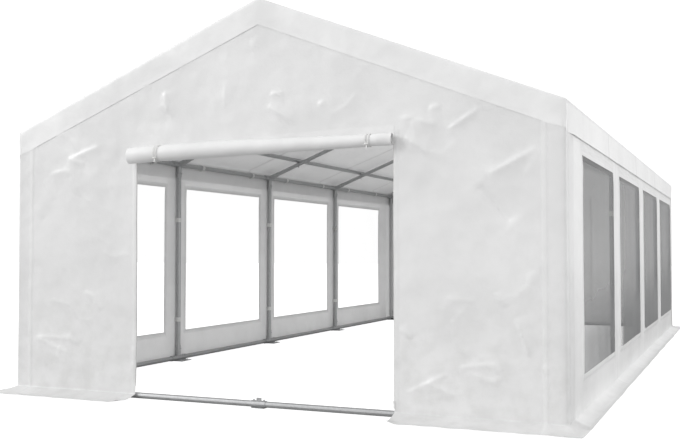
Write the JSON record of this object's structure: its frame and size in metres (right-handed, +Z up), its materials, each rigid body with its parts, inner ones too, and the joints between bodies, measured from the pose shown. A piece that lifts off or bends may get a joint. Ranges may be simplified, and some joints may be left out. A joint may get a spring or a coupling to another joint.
{
  "type": "marquee tent",
  "caption": "Gable-ended frame tent with a steel tube frame, sheet roof, windowed side walls, ground flaps and a rolled-up gable door.",
  "frame": {"origin": "on the ground, at the middle of the plan", "axes": "+Z up, X across the gable, Y along the ridge with the open door at -Y"},
  "size_m": [4.3104, 8.4364, 2.7464],
  "materials": {
    "steel_tube": "hot-dip galvanised tube, dull grey",
    "roof_sheet": "white coated tent sheet, soft sheen",
    "wall_sheet": "white coated tent sheet, soft sheen",
    "window_film": "clear soft window film, glossy"
  },
  "bodies": {
    "root": {"leg_left_1": "steel_tube", "leg_left_2": "steel_tube", "leg_left_3": "steel_tube", "leg_left_4": "steel_tube", "leg_left_5": "steel_tube", "leg_right_1": "steel_tube", "leg_right_2": "steel_tube", "leg_right_3": "steel_tube", "leg_right_4": "steel_tube", "leg_right_5": "steel_tube", "rafter_left_1": "steel_tube", "rafter_left_2": "steel_tube", "rafter_left_3": "steel_tube", "rafter_left_4": "steel_tube", "rafter_left_5": "steel_tube", "rafter_right_1": "steel_tube", "rafter_right_2": "steel_tube", "rafter_right_3": "steel_tube", "rafter_right_4": "steel_tube", "rafter_right_5": "steel_tube", "eaves_purlin_left": "steel_tube", "eaves_purlin_right": "steel_tube", "roof_purlin_left": "steel_tube", "roof_purlin_right": "steel_tube", "ridge_purlin": "steel_tube", "ground_rail_left": "steel_tube", "ground_rail_right": "steel_tube", "ground_rail_front": "steel_tube", "ground_rail_rear": "steel_tube", "roof_cover": "roof_sheet", "front_wall": "wall_sheet", "rear_wall": "wall_sheet", "left_wall": "wall_sheet", "right_wall": "wall_sheet", "front_door": "wall_sheet", "rear_door": "wall_sheet", "window_left_1": "window_film", "window_left_2": "window_film", "window_left_3": "window_film", "window_left_4": "window_film", "window_right_1": "window_film", "window_right_2": "window_film", "window_right_3": "window_film", "window_right_4": "window_film"}
  },
  "joints": []
}
